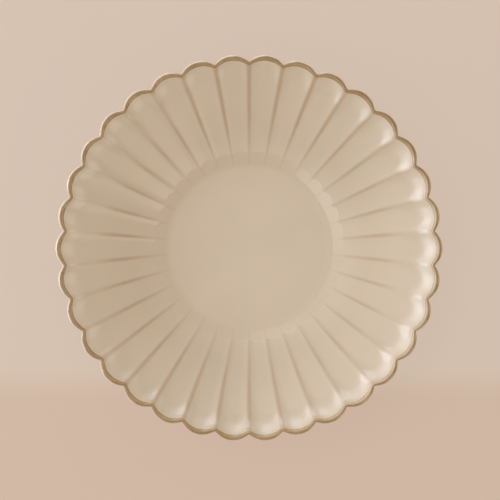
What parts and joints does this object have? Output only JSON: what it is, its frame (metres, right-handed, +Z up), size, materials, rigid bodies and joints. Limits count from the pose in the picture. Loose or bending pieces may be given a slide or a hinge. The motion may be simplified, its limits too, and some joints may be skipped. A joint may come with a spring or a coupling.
{
  "type": "deep plate",
  "caption": "Deep stoneware plate with a petal rim: flat round well, fluted sloping wall, cream glaze with brown ridges, brown lip band and a bare clay foot ring.",
  "frame": {"origin": "centre of the plate on the table plane, under the foot ring", "axes": "+Z up along the plate's axis, out of the well; a petal tip lies on +X and a notch between two petals on +Y, as at the top of the picture"},
  "size_m": [0.22, 0.219, 0.04],
  "materials": {
    "bare_clay": "matte, unglazed, fine sandy grain",
    "cream_glaze": "glossy cream, breaking to brown on the ridges",
    "brown_glaze": "glossy tan brown"
  },
  "bodies": {
    "root": {"stoneware_body": "bare_clay", "face_glaze": "cream_glaze", "rim_band": "brown_glaze", "back_glaze": "cream_glaze", "base_glaze": "cream_glaze"}
  },
  "joints": []
}
